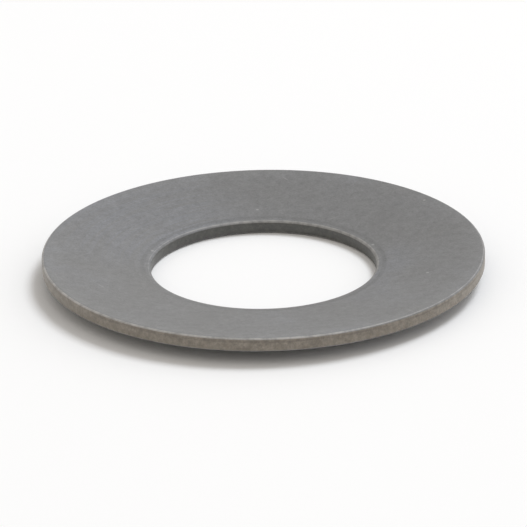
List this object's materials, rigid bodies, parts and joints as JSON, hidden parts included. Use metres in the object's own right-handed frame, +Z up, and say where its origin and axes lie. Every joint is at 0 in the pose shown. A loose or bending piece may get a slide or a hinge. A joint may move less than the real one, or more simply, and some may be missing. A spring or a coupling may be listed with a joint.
{
  "type": "disc spring",
  "caption": "Coned disc spring of hardened steel: a shallow conical ring with a plain bore and rounded edges that carries load between its bore edge and its rim.",
  "frame": {"origin": "on the spring's axis, at the surface that its lower bore edge stands on", "axes": "+Z up along the spring's axis, towards the hollow side; X and Y square to it, with nothing to tell them apart"},
  "size_m": [0.04, 0.04, 0.0025],
  "materials": {
    "phosphated_spring_steel": "matte"
  },
  "bodies": {
    "root": {"disc_spring": "phosphated_spring_steel"}
  },
  "joints": []
}
